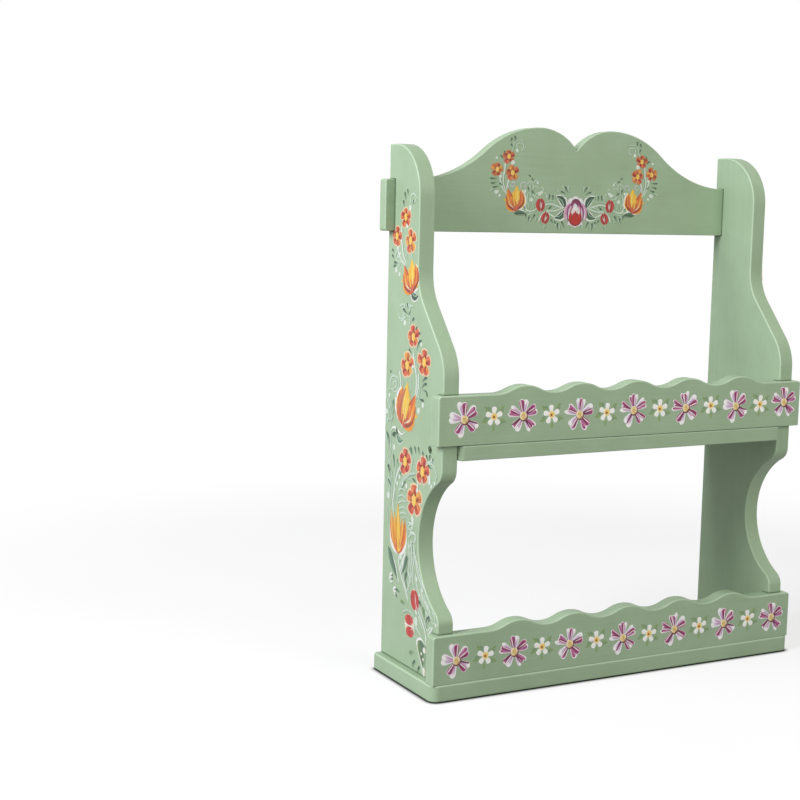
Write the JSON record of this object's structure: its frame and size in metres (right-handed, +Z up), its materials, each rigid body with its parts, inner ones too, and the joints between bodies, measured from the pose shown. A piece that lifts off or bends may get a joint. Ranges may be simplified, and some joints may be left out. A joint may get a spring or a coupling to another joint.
{
  "type": "wall rack with shelves",
  "caption": "Painted wooden wall rack with open shelf levels behind scalloped rails, shaped side boards and a lobed crest with flower decoration.",
  "frame": {"origin": "centre of the bounding box's footprint, on the underside of the base board", "axes": "+X toward the right end as the rack is faced, +Y toward the wall behind it, +Z up"},
  "size_m": [0.42, 0.118, 0.5215],
  "materials": {
    "sage_paint": "satin sage green paint with painted flowers",
    "bare_wood": "plain beech",
    "brass_screw": "dull",
    "zinc_steel": "zinc plated"
  },
  "bodies": {
    "root": {"base_board": "sage_paint", "left_side": "sage_paint", "right_side": "sage_paint", "middle_shelf": "sage_paint", "middle_rail": "sage_paint", "lower_rail": "sage_paint", "crest_board": "sage_paint", "shelf_screws": "brass_screw", "shelf_dowels": "bare_wood", "base_screws": "brass_screw", "crest_screws": "brass_screw", "middle_rail_dowels": "bare_wood", "lower_rail_dowels": "bare_wood", "left_hanger_plate": "zinc_steel", "right_hanger_plate": "zinc_steel", "hanger_screws": "zinc_steel"}
  },
  "joints": []
}
